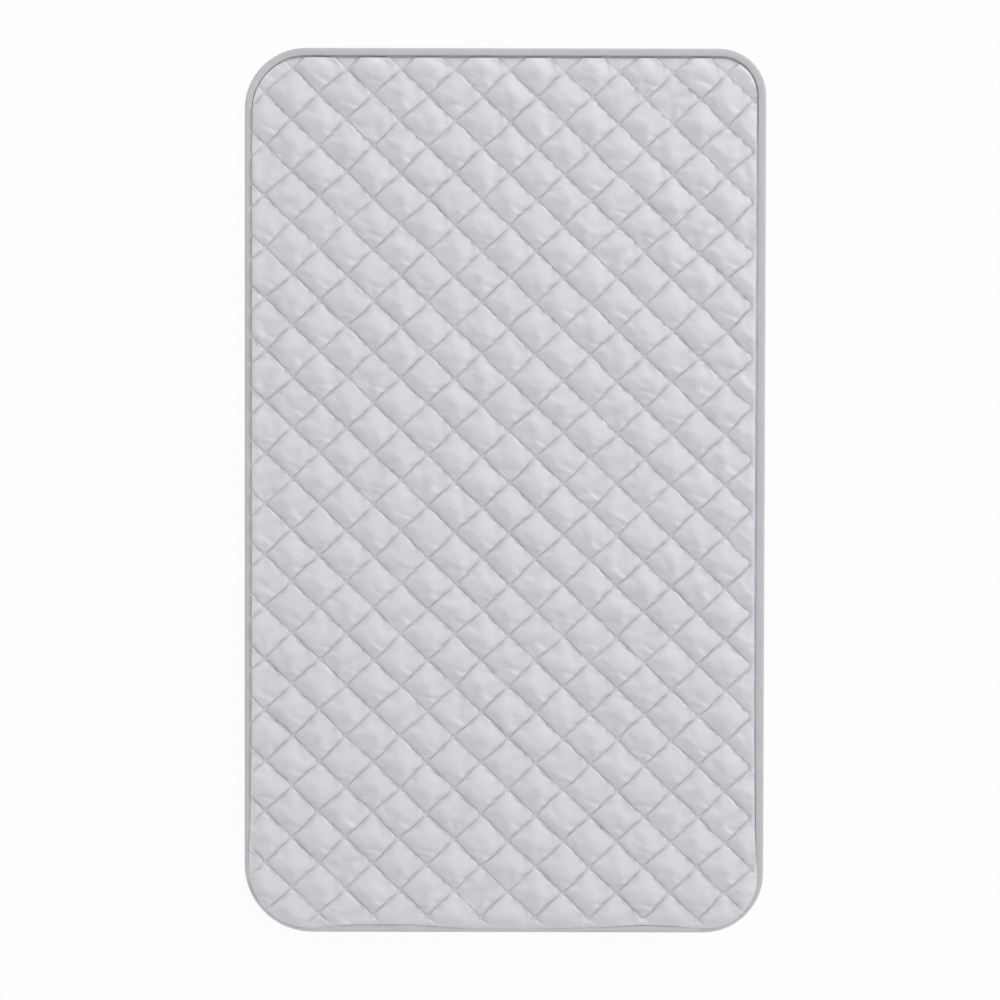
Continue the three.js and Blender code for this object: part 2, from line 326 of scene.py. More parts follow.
S_STEPS = [0, 0.008, 0.024, 0.06, 0.13, 0.21, 0.29, 0.35, 0.41, 0.48]
S_STEPS += [0.57, 0.68, 0.78, 0.86, 0.905, 0.94, 0.966, 0.983, 0.9925]
T_STEPS = [0, 0.009, 0.027, 0.08, 0.18, 0.32, 0.46, 0.57, 0.67, 0.77, 0.86, 0.93, 0.972, 0.991]
cloth, cloth_faces, cloth_rim = seam_sheet(S_STEPS, T_STEPS, inside_wall)
print("face cloth", len(cloth), "vertices", len(cloth_faces), "faces", len(cloth_rim), "on its edge")

# %% [markdown]
# Between the seams the wadding pushes the cloth up. The start form is worked out from the place in the
# diamond: a low dome that the stitches pinch along its sides. It leans. On its lower left it rises softly
# from the seam, past its crest it drops, and on its upper right it stands almost upright at the seam. Where
# seams cross, its corner is round. Seams lie lowest where they cross and a little higher between.
#
# Every diamond gets its own small share of height and tilt and its own little tuck, from a fixed seed, as no
# two are filled alike. Diamonds that the tape along the top cuts off have lost most of their filling.

# %% The start form of the quilting
SEAM_HEIGHT = 2.4 * MM
SEAM_ARCH = 0.4 * MM
PUFF_RISE = 4.1 * MM
EDGE_REACH = 13 * MM
PINCH = 0.6
FALLING_REACH = 2.0 * MM
ROLL_REACH = 0.13 * MM
RISING_REACH = 0.85 * MM
TIP_RADIUS = 6 * MM
TIP_REACH = 0.8 * MM
TAPE_REACH = 0.12 * MM
CREST = 0.57
SHELF = 0.89
SHELF_DROP = 0.75
SEAM_ROLL = 0.75
SEAM_FADE = 1.8
FULL_ROOM = 6 * MM
LOST_ROOM = 14 * MM
LEAST_SWELL = 0.2
RISE_SPREAD = 0.07
TILT_SPREAD = 0.06
TUCK_DEPTH = 1.2 * MM
TUCK_MEAN = 0.5
TUCK_SPREAD = 0.4
LARGEST_TUCK = 1.2
# where a tuck lies on its seam, how it slants, and where in the diamond it runs out
TUCK_PLACE = (0.47, 0.38, 0.5)
TUCK_PLACE_SPREAD = (0.06, 0.12, 0.06)
TUCK_FADE = 0.3
VALLEY_WIDTH = 1.5 * MM
RIDGE_AWAY = 3.4 * MM
RIDGE_WIDTH = 2.4 * MM
RIDGE_SHARE = 0.6

seeded = np.random.default_rng(7)
diamonds = (2 * SEAM_REACH + 2, 2 * SEAM_REACH + 2)
diamond_rise = seeded.normal(1.0, RISE_SPREAD, diamonds)
diamond_tilt = seeded.normal(0.0, TILT_SPREAD, (2, *diamonds))
tuck_size = np.clip(seeded.normal(TUCK_MEAN, TUCK_SPREAD, diamonds), 0, LARGEST_TUCK)
tuck_place = seeded.normal(TUCK_PLACE, TUCK_PLACE_SPREAD, (*diamonds, 3))


def from_seam(fraction):
    """0 on a seam, 1 half way to the next one."""
    return 1 - np.abs(2 * fraction - 1)


def eased(share):
    """From 0 to 1 with a soft start and a soft end."""
    share = np.clip(share, 0, 1)
    return share * share * (3 - 2 * share)


def pinched(away, reach):
    """A steep rise from 0 to 1, at a distance from the stitches."""
    return 1 - np.exp(-away / reach)


def rounded_pinch(from_falling, from_rising, falling_reach):
    """The rise away from two seams that cross, with a round corner between them."""
    to_falling = np.maximum(TIP_RADIUS - from_falling, 0)
    to_rising = np.maximum(TIP_RADIUS - from_rising, 0)
    in_tip = (to_falling > 0) & (to_rising > 0)
    round_off = np.hypot(to_falling, to_rising)
    share = (to_falling / np.maximum(round_off, TINY)) ** 2
    tip_reach = share * falling_reach + (1 - share) * RISING_REACH
    tip = np.where(in_tip, pinched(np.maximum(TIP_RADIUS - round_off, 0), tip_reach), 1)
    straight = np.minimum(pinched(from_falling, falling_reach), pinched(from_rising, RISING_REACH))
    return np.minimum(straight, tip)


def leaning(u):
    """A dome across the falling seams that drops past its crest and rolls up again at the next seam."""
    after = np.clip((u - CREST) / (SHELF - CREST), 0, 1)
    rolled = np.clip((u - SHELF) / (1 - SHELF), 0, 1)
    lowered = 1 - SHELF_DROP * (1 - np.cos(np.pi * after)) / 2 + SEAM_ROLL * rolled
    return np.where(u < CREST, domed(u, CREST), lowered)


def domed(away, room):
    """A slow rise from 0 to 1 over the whole room."""
    return 1 - (1 - np.clip(away / room, 0, 1)) ** 2


def edge_height(x, y):
    """Height of the seams, which rise to the tape near the edge."""
    share = eased(inside_tape(x, y) / EDGE_REACH)
    return tape_ditch(x, y) * (1 - share) + SEAM_HEIGHT * share


def tuck(u, v, size, place):
    """A small fold that starts at the seam on the lower right and runs out inside the diamond."""
    line = place[..., 0] - place[..., 1] * (1 - v)
    away = (u - line) * DIAMOND_SIDE
    valley = np.exp(-((away / VALLEY_WIDTH) ** 2))
    ridge = np.exp(-(((away + RIDGE_AWAY) / RIDGE_WIDTH) ** 2))
    depth = TUCK_DEPTH * size * eased((v - place[..., 2]) / TUCK_FADE)
    return depth * (RIDGE_SHARE * ridge - valley)


def cut_short(s, t):
    """How much swelling a diamond loses, from 0 to 1, because the tape along the top cuts it off."""
    x, y = pattern_point(np.floor(s) + 0.5, np.floor(t) + 0.5)
    room = (inside_tape(x, y) + LOST_ROOM) / (FULL_ROOM + LOST_ROOM)
    return np.maximum(outward(x, y)[1], 0) * (1 - np.clip(room, LEAST_SWELL, 1))


def quilt_height(s, t, x, y):
    """Height of the seams and of the cloth's start form above them."""
    u, v = s - np.floor(s), t - np.floor(t)
    i = (np.floor(s) + SEAM_REACH).astype(int)
    j = (np.floor(t) + SEAM_REACH).astype(int)
    seam = edge_height(x, y)
    arch = from_seam(u) + from_seam(v)
    seam = seam + SEAM_ARCH * np.minimum(arch, 1) * np.clip(inside_tape(x, y) / EDGE_REACH, 0, 1)
    tilt = diamond_tilt[0, i, j] * (u - 0.5) + diamond_tilt[1, i, j] * (v - 0.5)
    half_side = DIAMOND_SIDE / 2
    from_falling, from_rising = from_seam(u) * half_side, from_seam(v) * half_side
    roll_reach = ROLL_REACH + (TIP_REACH - ROLL_REACH) * np.clip(1 - from_rising / TIP_RADIUS, 0, 1)
    falling_reach = np.where(u < 0.5, FALLING_REACH, roll_reach)
    steep = rounded_pinch(from_falling, from_rising, falling_reach)
    sewn = eased(1 - SEAM_FADE * (1 - inside_tape(x, y) / seam_end(x, y)))
    steep = 1 - (1 - steep) * sewn
    swollen = steep * (PINCH + (1 - PINCH) * leaning(u) * domed(from_rising, half_side))
    from_tape = np.maximum(inside_tape(x, y) - ditch_width(x, y), 0)
    share = edge_steepness(x, y)
    swollen *= share * pinched(from_tape, TAPE_REACH) + (1 - share) * domed(from_tape, EDGE_REACH)
    swollen *= 1 - sewn * cut_short(s, t)
    folded = tuck(u, v, tuck_size[i, j], tuck_place[i, j])
    return seam, (PUFF_RISE * diamond_rise[i, j] * (1 + 2 * tilt) + folded) * swollen


HELD_REACH = 0.01
SEWN_FROM = 0.7
cloth_seam, cloth_rise = quilt_height(*cloth.T)
sewn_down = inside_tape(*cloth[:, 2:].T) >= SEWN_FROM * seam_end(*cloth[:, 2:].T)
held = np.abs(cloth[:, 0] - np.round(cloth[:, 0])) < HELD_REACH
held |= np.abs(cloth[:, 1] - np.round(cloth[:, 1])) < HELD_REACH
held &= sewn_down
held[cloth_rim] = True
print("held", held.sum(), "of", len(held), "highest start", (cloth_seam + cloth_rise).max())

# %% [markdown]
# Now the cloth is let go. Blender's Cloth holds the seam vertices, swells the rest with a little pressure
# and lets the sheet be a few per cent larger than the room it has, as quilted cloth is. The spare cloth has
# to go somewhere, so the diamonds come up full and a little uneven. Only a few frames are needed. How far a
# point may go is capped, nothing may sink below its seams, and the result is kept as plain coordinates.

# %% Let the face cloth swell
SPARE_CLOTH = 0.03
SWELL_FRAMES = 18
FREE_MOVE = 2.5 * MM


def in_scene(name, data):
    """A new object in the scene that shows a mesh, a lamp or a camera."""
    made = bpy.data.objects.new(name, data)
    bpy.context.scene.collection.objects.link(made)
    return made


def mesh_object(name, points, faces, edges=()):
    mesh = bpy.data.meshes.new(name)
    mesh.from_pydata([tuple(p) for p in points], edges, faces)
    return in_scene(name, mesh)


def remove(thing):
    """Removes an object together with its mesh."""
    mesh = thing.data
    bpy.data.objects.remove(thing)
    bpy.data.meshes.remove(mesh)


def swell(points, faces, held_points):
    """Runs Cloth on a sheet and gives its points back."""
    sheet = mesh_object("sheet_at_work", points, faces)
    group = sheet.vertex_groups.new(name="held")
    group.add(np.flatnonzero(held_points).tolist(), 1.0, "REPLACE")
    modifier = sheet.modifiers.new("cloth", "CLOTH")
    settings = modifier.settings
    settings.quality = 6
    settings.mass = 0.15
    settings.tension_stiffness = settings.compression_stiffness = 40
    settings.shear_stiffness = 20
    settings.bending_stiffness = 2.0
    settings.tension_damping = settings.compression_damping = 10
    settings.shear_damping = 10
    settings.bending_damping = 1.0
    settings.air_damping = 5
    settings.vertex_group_mass = "held"
    settings.pin_stiffness = 1
    settings.shrink_min = -SPARE_CLOTH
    settings.use_pressure = True
    settings.uniform_pressure_force = 1.0
    settings.effector_weights.gravity = 0
    modifier.collision_settings.use_collision = False
    scene = bpy.context.scene
    for number in range(1, SWELL_FRAMES + 1):
        scene.frame_set(number)
    shaped = sheet.evaluated_get(bpy.context.evaluated_depsgraph_get()).to_mesh()
    result = np.zeros(len(shaped.vertices) * 3)
    shaped.vertices.foreach_get("co", result)
    scene.frame_set(1)
    remove(sheet)
    return result.reshape(-1, 3)


start = np.column_stack([cloth[:, 2], cloth[:, 3], cloth_seam + cloth_rise])
face_points = start
move = swell(start, cloth_faces, held) - start
length = np.linalg.norm(move, axis=1)
print("cloth moved", length.mean(), "on average and", length.max(), "at most")
face_points = start + move * np.minimum(1, FREE_MOVE / np.maximum(length, TINY))[:, None]
face_points[:, 2] = np.maximum(face_points[:, 2], cloth_seam)
print("face cloth from", face_points[:, 2].min(), "to", face_points[:, 2].max())

# %% [markdown]
# The sheet still ends above the ditch, and it has no thickness. Two rings of faces carry it down its wall
# and along the ditch to the tape, and two more carry it on under the tape to its cut edge. The edge above
# the wall is kept sharp. The underside is a coarser sheet. It starts below the lowest point around each of
# its own, and where it still comes too close to the cloth it is lowered. A strip of faces along the cut
# closes the two into one piece. Its map remembers where each point lay in the flat cloth, for the weave.

# %% The face cloth as a piece
CLOTH_THICKNESS = 0.4 * MM
CUT_INSET = 2.0 * MM
LEAST_DITCH = 0.1 * MM
CUT_SHARE = 0.5
LEAST_COVER = 0.2 * MM
LINING_REACH = 4 * MM
LINING_STEPS = [0, 0.1, 0.36, 0.64, 0.9]
LINING_PASSES = 3
UP = Vector((0, 0, 1))


def with_rings(points, faces, rim, rings):
    """Adds rings of faces outside a sheet's edge. A ring is an array with a point for each on the edge."""
    inner = rim
    for ring in rings:
        outer = len(points) + np.arange(len(rim))
        points = np.vstack([points, ring])
        after_inner, after_outer = np.roll(inner, -1), np.roll(outer, -1)
        faces = faces + np.column_stack([inner, outer, after_outer, after_inner]).tolist()
        inner = outer
    return points, faces, inner


def closed_piece(name, top, under):
    """A piece from a top and an underside, each with points, faces and edge. Their edges needn't match."""
    top_points, top_faces, top_rim = top
    under_points, under_faces, under_rim = under
    count = len(top_points)
    below = [[n + count for n in reversed(face)] for face in under_faces]
    upper = [(b, int(n)) for b, n in zip(bearing(*top_points[top_rim, :2].T), top_rim)]
    lower = [(b, int(n) + count) for b, n in zip(bearing(*under_points[under_rim, :2].T), under_rim)]
    upper.append((upper[0][0] + 2 * math.pi, upper[0][1]))
    lower.append((lower[0][0] + 2 * math.pi, lower[0][1]))
    wall = []
    i = j = 0
    while i < len(upper) - 1 or j < len(lower) - 1:
        if j == len(lower) - 1 or (i < len(upper) - 1 and upper[i + 1][0] <= lower[j + 1][0]):
            wall.append([upper[i + 1][1], upper[i][1], lower[j][1]])
            i += 1
        else:
            wall.append([upper[i][1], lower[j][1], lower[j + 1][1]])
            j += 1
    return mesh_object(name, np.vstack([top_points, under_points]), top_faces + below + wall)


def smooth(piece):
    piece.data.polygons.foreach_set("use_smooth", [True] * len(piece.data.polygons))


def add_map(piece, name, pairs):
    """A UV map from one pair of numbers for each vertex."""
    mesh = piece.data
    corners = np.zeros(len(mesh.loops), np.int32)
    mesh.loops.foreach_get("vertex_index", corners)
    layer = mesh.uv_layers.new(name=name)
    layer.data.foreach_set("uv", np.asarray(pairs, np.float32)[corners].ravel())


def down_to_tape(points, faces, rim):
    """Carries the face cloth down its wall into the ditch, and along the ditch to the tape."""
    top = points[rim]
    plan = (top[:, 0], top[:, 1])
    out_x, out_y = outward(*plan)
    rings = []
    for reach in (WALL_WIDTH, WALL_WIDTH + np.maximum(ditch_width(*plan), LEAST_DITCH)):
        rings.append(np.column_stack([plan[0] + out_x * reach, plan[1] + out_y * reach, tape_ditch(*plan)]))
    return with_rings(points, faces, rim, rings)


def under_tape(points, faces, rim):
    """Carries a sheet on from the edge of the tape to its own cut edge."""
    edge_points = points[rim]
    out_x, out_y = outward(edge_points[:, 0], edge_points[:, 1])
    shown = tape_shown(edge_points[:, 0], edge_points[:, 1])
    cut = np.minimum(CUT_INSET, CUT_SHARE * shown + LEAST_COVER)
    rings = []
    for share in (0.5, 1.0):
        reach = share * (shown - cut)
        rings.append(edge_points + np.column_stack([out_x * reach, out_y * reach, 0 * reach]))
    return with_rings(points, faces, rim, rings)


def tree_of(points):
    tree = kdtree.KDTree(len(points))
    for number, point in enumerate(points):
        tree.insert((point[0], point[1], 0), number)
    tree.balance()
    return tree


def below_face(plan):
    """A height that is no higher than the face cloth, for each place of a plan."""
    heights = face_top[0][:, 2]
    lowest = []
    for x, y in plan:
        around = face_tree.find_range((x, y, 0), LINING_REACH)
        lowest.append(min(heights[number] for _, number, _ in around))
    along_ditch = np.maximum(inside_tape(*plan.T), 0) / np.maximum(ditch_width(*plan.T), LEAST_DITCH)
    return np.minimum(lowest, tape_ditch(*plan.T) + CLOTH_THICKNESS * along_ditch)


def clear_of_face(points, faces):
    """Lowers a sheet where its faces come closer to the face cloth than the cloth is thick."""
    for _ in range(LINING_PASSES):
        tree = BVHTree.FromPolygons(points.tolist(), faces)
        drop = np.zeros(len(points))
        for place in face_top[0]:
            hit, _, number, _ = tree.ray_cast(Vector((place[0], place[1], -1)), UP)
            if hit is not None and hit.z + CLOTH_THICKNESS > place[2]:
                ends = faces[number]
                drop[ends] = np.maximum(drop[ends], hit.z + CLOTH_THICKNESS - place[2])
        points = points - drop[:, None] * np.array(UP)
        print("underside lowered by", drop.max(), "at most, at", (drop > 0).sum(), "points")
    return points


face_top = under_tape(*down_to_tape(face_points, cloth_faces, cloth_rim))
face_tree = tree_of(face_top[0])
lining, lining_faces, lining_rim = seam_sheet(LINING_STEPS, LINING_STEPS, inside_tape)
lining_height = below_face(lining[:, 2:]) - CLOTH_THICKNESS
lining_points = clear_of_face(np.column_stack([lining[:, 2:], lining_height]), lining_faces)
face_under = under_tape(lining_points, lining_faces, lining_rim)
face_cloth = closed_piece("face_cloth_quilted", face_top, face_under)
smooth(face_cloth)
on_rim = np.zeros(len(face_cloth.data.vertices), bool)
on_rim[cloth_rim] = True
edge_ends = np.array([tuple(edge.vertices) for edge in face_cloth.data.edges])
face_cloth.data.edges.foreach_set("use_edge_sharp", on_rim[edge_ends].all(axis=1))
flat_plan = np.vstack([cloth[:, 2:], face_top[0][len(cloth) :, :2], face_under[0][:, :2]])
add_map(face_cloth, "weave", flat_plan)
print("face cloth", len(face_cloth.data.polygons), "faces, up to", face_top[0][:, 2].max())

# %% [markdown]
# The backing is the same kind of sheet, with fewer steps, because it lies flat on the table and only lifts
# a little where a seam pulls it up and where it passes over the lower lip of the tape. The wadding fills
# what is left between the two cloths. Its top is the underside of the face cloth, moved down a little, and
# it is kept above the backing.

# %% The backing cloth and the wadding
BACKING_STEPS = [0, 0.08, 0.26, 0.5, 0.74, 0.92]
LAYER_FIT = 0.15 * MM
LIP_LIFT = 0.75 * MM
LIP_WIDTH = 8 * MM
WADDING_FIT = 0.3 * MM
LEAST_WADDING = 0.1 * MM
LIP_RAMP = 6 * MM
SEAM_LIFT = 0.5 * MM
SEAM_LIFT_REACH = 0.22


def inside_cut(x, y):
    return inset_of(x, y) - CUT_INSET


def backing_height(s, t, x, y):
    """Height of the backing's underside above the table."""
    share = np.clip(1 - (inset_of(x, y) - LIP_WIDTH) / LIP_RAMP, 0, 1)
    near = np.minimum(from_seam(s - np.floor(s)), from_seam(t - np.floor(t)))
    drawn_up = np.clip(1 - near / SEAM_LIFT_REACH, 0, 1) ** 2
    return np.maximum(LIP_LIFT * share, SEAM_LIFT * drawn_up)


layer, layer_faces, layer_rim = seam_sheet(BACKING_STEPS, BACKING_STEPS, inside_cut)
under = np.column_stack([layer[:, 2], layer[:, 3], backing_height(*layer.T)])
over = under + [0, 0, CLOTH_THICKNESS]
backing = closed_piece("backing_cloth_sewn", (over, layer_faces, layer_rim), (under, layer_faces, layer_rim))
smooth(backing)
add_map(backing, "weave", np.vstack([layer[:, 2:], layer[:, 2:]]))

wadding_under = over + [0, 0, LAYER_FIT]
wadding_top = face_under[0] - [0, 0, WADDING_FIT]
lining_seams = np.vstack([lining[:, :2], lining[lining_rim, :2], lining[lining_rim, :2]])
over_backing = backing_height(*lining_seams.T, *wadding_top[:, :2].T) + CLOTH_THICKNESS + LAYER_FIT
wadding_top[:, 2] = np.maximum(wadding_top[:, 2], over_backing + LEAST_WADDING)
wadding_sides = (wadding_top, *face_under[1:]), (wadding_under, layer_faces, layer_rim)
wadding = closed_piece("wadding_fill", *wadding_sides)
smooth(wadding)
print("wadding from", wadding_under[:, 2].min(), "to", wadding_top[:, 2].max())

# %% [markdown]
# The tape is a flat woven strip, folded round the edge. Seen in section it starts as a lip under the pad,
# goes round the outside in a soft roll and ends in the ditch where the face cloth comes out. That section
# changes along the edge, so it is worked out for every step: a smooth curve through a few knots that depend
# on how wide the tape shows there. Its inner side is the same curve, moved in by the thickness. A hand-fed
# tape wavers, so small waves of four lengths are added to its width and height.

# %% The folded tape
TAPE_THICKNESS = 0.5 * MM
TAPE_STEPS = 1036
SECTION_STEPS = 4
# each wave: how many go round the pad, phase, size in millimetres
TAPE_WAVES = ((41, 0.4, 0.09), (67, 2.1, 0.07), (103, 4.0, 0.05), (151, 1.2, 0.04))
CREST_WAVE = 1.2
NARROW = 1.9 * MM
WIDER_BY = 4.5 * MM
NARROW_CREST = 0.25 * MM
WIDE_CREST = 0.3 * MM
NARROW_NOSE = 1.9 * MM
WIDE_NOSE = 0.5 * MM
# the lower lip and its turn: distance from the outline and height, in millimetres
LOWER_LIP = ((9.0, 0.08), (6.6, 0.05), (4.4, 0.02), (2.3, 0.0), (0.6, 0.75))
CREST_DIP = 0.03 * MM
END_COVER = 0.2 * MM
DITCH_KNOT = 9
LIP_KNOT = 1
JUST_INSIDE = 0.9999
EDGE_LENGTH = 4 * (HALF_WIDTH + HALF_LENGTH) - (2 - math.pi / 2) * sum(corner_radii)


def outline_points(count):
    """Evenly spaced points of the outline, anticlockwise from the middle of the right side."""
    arc = np.radians(np.arange(0, 90.5, 1.0))
    path = []
    for number, (sign_x, sign_y) in enumerate(CORNERS):
        radius = corner_radii[number]
        angle = arc + number * math.pi / 2
        corner_x = sign_x * (HALF_WIDTH - radius) + radius * np.cos(angle)
        corner_y = sign_y * (HALF_LENGTH - radius) + radius * np.sin(angle)
        path.append(np.column_stack([corner_x, corner_y]))
    path = np.vstack([[[HALF_WIDTH, 0]], *path, [[HALF_WIDTH, 0]]])
    along = np.concatenate([[0], np.cumsum(np.linalg.norm(np.diff(path, axis=0), axis=1))])
    at = np.arange(count) * along[-1] / count
    return np.column_stack([np.interp(at, along, path[:, 0]), np.interp(at, along, path[:, 1])])


def curve_through(knots, steps):
    """Smooth curve through knots, an array of sections by points by 2, with steps between two knots."""
    before = np.concatenate([2 * knots[:, :1] - knots[:, 1:2], knots[:, :-1]], axis=1)
    after = np.concatenate([knots[:, 1:], 2 * knots[:, -1:] - knots[:, -2:-1]], axis=1)
    slope = (after - before) / 2
    pieces = []
    for f in np.arange(steps) / steps:
        a = 2 * f**3 - 3 * f**2 + 1
        b = f**3 - 2 * f**2 + f
        c = 3 * f**2 - 2 * f**3
        d = f**3 - f**2
        pieces.append(a * knots[:, :-1] + b * slope[:, :-1] + c * knots[:, 1:] + d * slope[:, 1:])
    inner = np.stack(pieces, axis=2).reshape(len(knots), -1, 2)
    return np.concatenate([inner, knots[:, -1:]], axis=1)


edge = outline_points(TAPE_STEPS)
edge_out = np.column_stack(outward(*(JUST_INSIDE * edge.T)))
turn_of_edge = np.arange(TAPE_STEPS) * 2 * math.pi / TAPE_STEPS
wave = np.zeros(TAPE_STEPS)
for waves, phase, size in TAPE_WAVES:
    wave += size * MM * np.sin(waves * turn_of_edge + phase)
shown = tape_shown(edge[:, 0], edge[:, 1]) + wave
lip_top = tape_lip(edge[:, 0], edge[:, 1])
flatness = np.clip((shown - NARROW) / WIDER_BY, 0, 1)
crest = lip_top + NARROW_CREST + WIDE_CREST * flatness + CREST_WAVE * wave
nose = NARROW_NOSE + WIDE_NOSE * flatness
one = np.ones(TAPE_STEPS) * MM
knots = [(away * one, height * one) for away, height in LOWER_LIP]
# the upper side: shares of the shown width, and of the heights of nose, crest and lip
knots += [
    (0 * one, nose),
    (0.035 * shown, nose + 0.7 * (crest - nose)),
    (0.18 * shown, crest - CREST_DIP),
    (0.6 * shown, crest - 0.1 * (crest - lip_top)),
    (0.9 * shown, lip_top + 0.3 * (crest - lip_top)),
    (shown + END_COVER, lip_top),
]
knots = np.stack([np.column_stack(knot) for knot in knots], axis=1)
section = curve_through(knots, SECTION_STEPS)
tangent = np.gradient(section, axis=1)
tangent /= np.linalg.norm(tangent, axis=2, keepdims=True)
inward = np.stack([tangent[..., 1], -tangent[..., 0]], axis=2)
inner_section = section + TAPE_THICKNESS * inward
loop = np.concatenate([section, inner_section[:, ::-1]], axis=1)
size = loop.shape[1]
tape_points = np.empty((TAPE_STEPS, size, 3))
tape_points[..., :2] = edge[:, None, :] - edge_out[:, None, :] * loop[..., :1]
tape_points[..., 2] = np.maximum(loop[..., 1], 0)
step, place = np.meshgrid(np.arange(TAPE_STEPS), np.arange(size), indexing="ij")
next_step, next_place = (step + 1) % TAPE_STEPS, (place + 1) % size
tape_faces = np.stack(
    [step * size + place, next_step * size + place, next_step * size + next_place, step * size + next_place],
    axis=-1,
).reshape(-1, 4)
tape = mesh_object("edge_binding_tape", tape_points.reshape(-1, 3), tape_faces.tolist())
smooth(tape)
print("tape", len(tape.data.polygons), "faces round", EDGE_LENGTH)

# %% [markdown]
# Every cloth on the pad is woven, so the weave is one node group that each finish uses with its own size
# of thread. It takes a flat place in metres and gives the height of the crossing threads, and a tone that
# differs from thread to thread. A second group gives the soft unevenness that any cloth gets in use.

# %% Weave and creases as node groups


def add_node(tree, kind, inputs=(), **settings):
    """A node with its settings. Its inputs are pairs of a socket's name or number and a value or socket."""
    made = tree.nodes.new(kind)
    for name, value in settings.items():
        setattr(made, name, value)
    for name, value in inputs:
        if isinstance(value, bpy.types.NodeSocket):
            tree.links.new(value, made.inputs[name])
        else:
            made.inputs[name].default_value = value
    return made


def calc(tree, operation, *values):
    """The result of a Math node."""
    return add_node(tree, "ShaderNodeMath", enumerate(values), operation=operation).outputs[0]


def group_tree(name, kind, inputs, outputs):
    """An empty node group, with its input and output nodes."""
    tree = bpy.data.node_groups.new(name, kind)
    for label, socket, default in inputs:
        made = tree.interface.new_socket(label, in_out="INPUT", socket_type=socket)
        if default is not None:
            made.default_value = default
    for label, socket in outputs:
        tree.interface.new_socket(label, in_out="OUTPUT", socket_type=socket)
    return tree, tree.nodes.new("NodeGroupInput"), tree.nodes.new("NodeGroupOutput")


def woven_threads():
    tree, given, result = group_tree(
        "woven_threads",
        "ShaderNodeTree",
        [("Place", "NodeSocketVector", None), ("Pitch", "NodeSocketFloat", 0.0005)],
        [("Height", "NodeSocketFloat"), ("Tone", "NodeSocketFloat")],
    )
    place = add_node(tree, "ShaderNodeSeparateXYZ", [(0, given.outputs["Place"])])
    x = calc(tree, "DIVIDE", place.outputs[0], given.outputs["Pitch"])
    y = calc(tree, "DIVIDE", place.outputs[1], given.outputs["Pitch"])
    column, row = calc(tree, "FLOOR", x), calc(tree, "FLOOR", y)
    over = calc(tree, "FLOORED_MODULO", calc(tree, "ADD", column, row), 2.0)
    round_x = calc(tree, "ABSOLUTE", calc(tree, "SINE", calc(tree, "MULTIPLY", x, math.pi)))
    round_y = calc(tree, "ABSOLUTE", calc(tree, "SINE", calc(tree, "MULTIPLY", y, math.pi)))
    warp = calc(tree, "MULTIPLY", round_x, calc(tree, "MULTIPLY_ADD", round_y, 0.5, 0.5))
    weft = calc(tree, "MULTIPLY", round_y, calc(tree, "MULTIPLY_ADD", round_x, 0.5, 0.5))
    height = add_node(tree, "ShaderNodeMix", [(0, over), (2, warp), (3, weft)])
    thread = add_node(tree, "ShaderNodeMix", [(0, over), (2, column), (3, row)])
    tone = add_node(tree, "ShaderNodeTexWhiteNoise", [("W", thread.outputs[0])], noise_dimensions="1D")
    tree.links.new(height.outputs[0], result.inputs["Height"])
    tree.links.new(tone.outputs["Value"], result.inputs["Tone"])
    return tree


def soft_creases():
    tree, given, result = group_tree(
        "soft_creases",
        "ShaderNodeTree",
        [("Place", "NodeSocketVector", None), ("Creases per metre", "NodeSocketFloat", 100.0)],
        [("Height", "NodeSocketFloat"), ("Patches", "NodeSocketFloat")],
    )
    size = given.outputs["Creases per metre"]
    folds = add_node(
        tree,
        "ShaderNodeTexNoise",
        [("Vector", given.outputs["Place"]), ("Scale", size), ("Detail", 3.0), ("Distortion", 0.6)],
    )
    patches = add_node(
        tree,
        "ShaderNodeTexNoise",
        [("Vector", given.outputs["Place"]), ("Scale", calc(tree, "MULTIPLY", size, 0.2)), ("Detail", 2.0)],
    )
    tree.links.new(folds.outputs["Fac"], result.inputs["Height"])
    tree.links.new(patches.outputs["Fac"], result.inputs["Patches"])
    return tree


WOVEN = woven_threads()
CREASES = soft_creases()
print("groups", WOVEN.name, CREASES.name)

# %% [markdown]
# Three of the finishes are woven, and one function makes them. The face is a cotton cloth with a thin silver
# coat, which fills the weave almost smooth and gives a satin gloss that differs from patch to patch. The
# tape is a close matt weave, and the backing a plain unbleached cotton with coarser threads and deeper
# creases. In each, the colour differs a little from thread to thread and from patch to patch.

# %% Woven finishes


def new_material(name):
    material = bpy.data.materials.new(name)
    material.use_nodes = True
    tree = material.node_tree
    return material, tree, tree.nodes["Principled BSDF"]


def use_group(tree, group, **inputs):
    pairs = [(name.replace("_", " "), value) for name, value in inputs.items()]
    return add_node(tree, "ShaderNodeGroup", pairs, node_tree=group)


def colour(tree, shader, amount, dark, light):
    """Gives a finish a colour between two, by an amount from 0 to 1."""
    pairs = [(0, amount), (6, (*dark, 1)), (7, (*light, 1))]
    mixed = add_node(tree, "ShaderNodeMix", pairs, data_type="RGBA")
    tree.links.new(mixed.outputs[2], shader.inputs["Base Color"])


def bump(tree, height, distance, normal=None):
    pairs = [("Height", height), ("Distance", distance), ("Strength", 1.0)]
    if normal is not None:
        pairs.append(("Normal", normal))
    return add_node(tree, "ShaderNodeBump", pairs).outputs[0]


